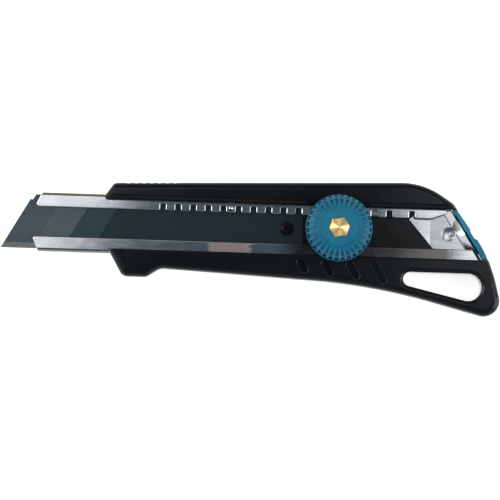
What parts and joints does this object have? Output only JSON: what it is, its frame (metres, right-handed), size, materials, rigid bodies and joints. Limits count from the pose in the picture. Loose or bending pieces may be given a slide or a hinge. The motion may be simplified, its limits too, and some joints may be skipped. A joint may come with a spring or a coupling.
{
  "type": "utility knife",
  "caption": "Flat snap-off utility knife: a scored blade slides in a folded steel channel, clamped by a ribbed thumb wheel, with a pull-off end cap and a hang hole in the grip.",
  "frame": {"origin": "on the flat back face, under the centreline of the blade channel and ahead of the lock wheel", "axes": "+X along the channel from the blade's tip to the tail, +Y towards the spine, +Z out of the face with the lock wheel; the knife lies on its back"},
  "size_m": [0.1657, 0.0435, 0.0207],
  "materials": {
    "handle_plastic": "satin black moulding with soft highlights",
    "channel_steel": "bright rolled stainless sheet",
    "blade_steel": "blackened carbon steel with a ground edge",
    "carriage_plastic": "black moulding",
    "spring_steel": "bare spring steel",
    "screw_steel": "zinc-plated steel",
    "ring_plastic": "natural low-friction plastic",
    "wheel_plastic": "satin blue-green moulding",
    "nut_brass": "turned brass",
    "cap_plastic": "satin blue-green moulding"
  },
  "bodies": {
    "handle": {"handle_body": "handle_plastic", "blade_channel": "channel_steel"},
    "slider": {"blade_carriage": "carriage_plastic", "snap_blade": "blade_steel", "clamp_screw": "screw_steel", "click_rivet": "screw_steel", "release_spring": "spring_steel"},
    "click": {"click_spring": "spring_steel"},
    "lift": {"pressure_washer": "screw_steel", "thrust_ring": "ring_plastic"},
    "wheel": {"lock_wheel": "wheel_plastic", "wheel_nut": "nut_brass"},
    "cap": {"end_cap": "cap_plastic", "cap_clip": "channel_steel", "cap_rivet": "screw_steel"}
  },
  "joints": [
    {"name": "blade_slide", "type": "slide", "parent": "handle", "child": "slider", "axis": [1, 0, 0], "range_m": [-0.06, 0.0125]},
    {"name": "wheel_turn", "type": "hinge", "parent": "lift", "child": "wheel", "pos_m": [0.0294, 0.00085, 0], "axis": [0, 0, 1], "range_deg": [0, 541]},
    {"name": "wheel_lift", "type": "slide", "parent": "slider", "child": "lift", "axis": [0, 0, 1], "range_m": [0, 0.00105], "deforming": ["release_spring"]},
    {"name": "click_rise", "type": "hinge", "parent": "slider", "child": "click", "pos_m": [0.0255, 0.0069, 0.00605], "axis": [0, -1, 0], "range_deg": [0, 2.4], "stiffness_Nm_per_rad": 0.02, "springref_deg": 2.29},
    {"name": "cap_pull", "type": "slide", "parent": "handle", "child": "cap", "axis": [1, 0, 0], "range_m": [0, 0.022]}
  ],
  "couplings": [
    {"joint": "wheel_turn", "follows": "wheel_lift", "rad_per_m": 8976}
  ]
}
